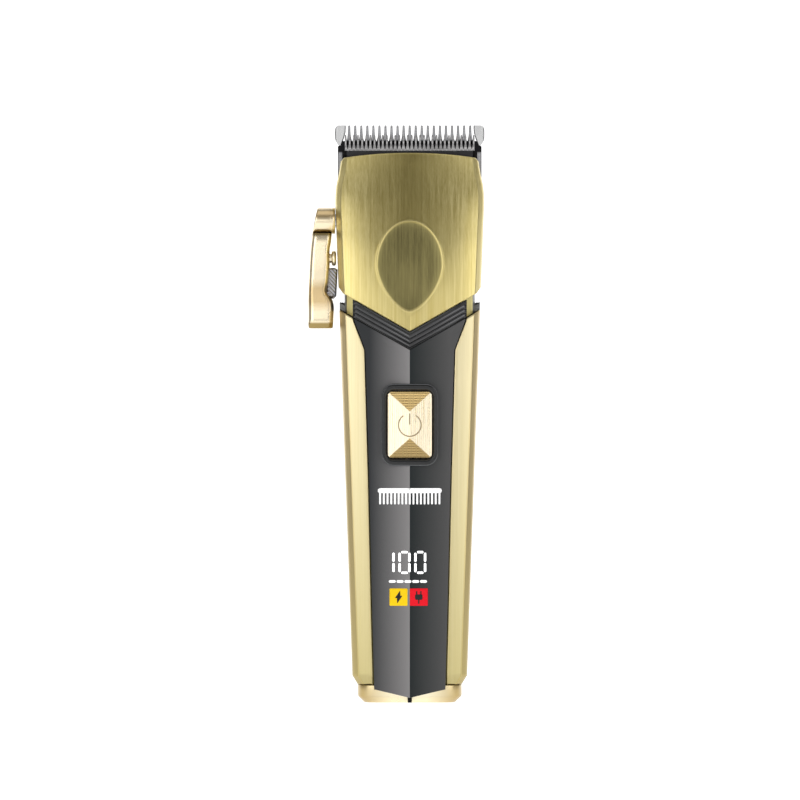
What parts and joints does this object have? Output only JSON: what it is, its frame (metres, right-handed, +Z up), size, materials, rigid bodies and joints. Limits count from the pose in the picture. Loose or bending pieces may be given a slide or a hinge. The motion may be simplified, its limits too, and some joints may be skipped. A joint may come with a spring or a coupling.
{
  "type": "hair clipper",
  "caption": "Cordless hair clipper with a brushed gold metal body, taper lever, toothed steel blade, power button and black display panel.",
  "frame": {"origin": "centre of the clipper's base, on the flat face it stands on, on the motor's side-to-side centre plane", "axes": "+Z up from the base to the blade tips, -Y out of the front face with the button and display, -X towards the taper lever"},
  "size_m": [0.0551, 0.0365, 0.18],
  "materials": {
    "gold_brushed": "vertically brushed champagne gold anodised metal",
    "gold_satin": "satin warm champagne gold",
    "panel_gloss": "gloss black",
    "black_plastic": "matte black",
    "blade_steel": "ground steel",
    "cutter_steel": "dark ground steel",
    "fastener_steel": "bright steel",
    "spring_steel": "spring wire",
    "nylon": "natural nylon",
    "magnet": "sintered magnet",
    "winding_copper": "enamelled copper windings on steel laminations",
    "bronze": "sintered bronze",
    "board_green": "solder mask",
    "cell_wrap": "shrink sleeve",
    "seal_rubber": "moulded silicone",
    "lamp_yellow": "translucent lamp",
    "lamp_red": "translucent lamp",
    "lead_red": "insulated lead",
    "lead_black": "insulated lead"
  },
  "bodies": {
    "handle": {"end_cap": "gold_satin", "front_housing": "gold_brushed", "rear_housing": "gold_brushed", "front_panel": "panel_gloss", "chevron_trim": "panel_gloss", "neck_ring": "gold_satin", "neck_collar": "black_plastic", "head_cover": "gold_brushed", "head_back": "gold_brushed", "blade_bracket": "black_plastic", "fixed_blade": "blade_steel", "blade_screw_left": "fastener_steel", "blade_screw_right": "fastener_steel", "lever_washer": "nylon", "motor_can": "fastener_steel", "motor_end_bell": "nylon", "motor_magnet": "magnet", "motor_bearing": "bronze", "motor_mount": "black_plastic", "motor_screw_left": "fastener_steel", "motor_screw_right": "fastener_steel", "button_bezel": "panel_gloss", "button_seal": "seal_rubber", "switch_body": "black_plastic", "circuit_board": "board_green", "display_module": "black_plastic", "indicator_left": "lamp_yellow", "indicator_right": "lamp_red", "battery_cell": "cell_wrap", "battery_cradle": "black_plastic", "battery_tab_top": "spring_steel", "battery_tab_bottom": "spring_steel", "charging_socket": "fastener_steel", "charge_light": "panel_gloss", "housing_screw_1": "fastener_steel", "housing_screw_2": "fastener_steel", "housing_screw_3": "fastener_steel", "housing_screw_4": "fastener_steel", "motor_lead_red": "lead_red", "motor_lead_black": "lead_black", "battery_lead_red": "lead_red", "battery_lead_black": "lead_black"},
    "lever": {"taper_lever": "gold_satin", "lever_grip": "cutter_steel", "lever_screw": "fastener_steel", "lever_shaft": "fastener_steel", "detent_spring": "spring_steel"},
    "detent": {"detent_pin": "gold_satin"},
    "carriage": {"cutter_carriage": "black_plastic", "tension_spring": "spring_steel"},
    "cutter": {"cutter_blade": "cutter_steel", "cutter_follower": "nylon"},
    "rotor": {"motor_shaft": "fastener_steel", "rotor_core": "winding_copper", "eccentric_cam": "nylon"},
    "button": {"power_button": "gold_satin"},
    "plunger": {"switch_plunger": "nylon"}
  },
  "joints": [
    {"name": "lever_swing", "type": "hinge", "parent": "handle", "child": "lever", "pos_m": [0, -0.003, 0.1499], "axis": [1, 0, 0], "range_deg": [0, 36]},
    {"name": "detent_plunge", "type": "slide", "parent": "lever", "child": "detent", "axis": [-1, 0, 0], "range_m": [0, 0.0005], "stiffness_N_per_m": 300, "deforming": ["detent_spring"]},
    {"name": "taper_slide", "type": "slide", "parent": "handle", "child": "carriage", "axis": [0, 0, 1], "range_m": [0, 0.00161]},
    {"name": "cutter_stroke", "type": "slide", "parent": "carriage", "child": "cutter", "axis": [1, 0, 0], "range_m": [-0.0012, 0.0012]},
    {"name": "rotor_spin", "type": "hinge", "parent": "handle", "child": "rotor", "pos_m": [0, -0.0005, 0.13], "axis": [0, 0, 1], "continuous": true},
    {"name": "button_press", "type": "slide", "parent": "handle", "child": "button", "axis": [0, 1, 0], "range_m": [0, 0.0005], "stiffness_N_per_m": 1500},
    {"name": "switch_travel", "type": "slide", "parent": "handle", "child": "plunger", "axis": [0, 1, 0], "range_m": [0, 0.0005]}
  ],
  "couplings": [
    {"joint": "taper_slide", "follows": "lever_swing", "m_per_rad": 0.0025465},
    {"joint": "switch_travel", "follows": "button_press", "ratio": 1}
  ]
}
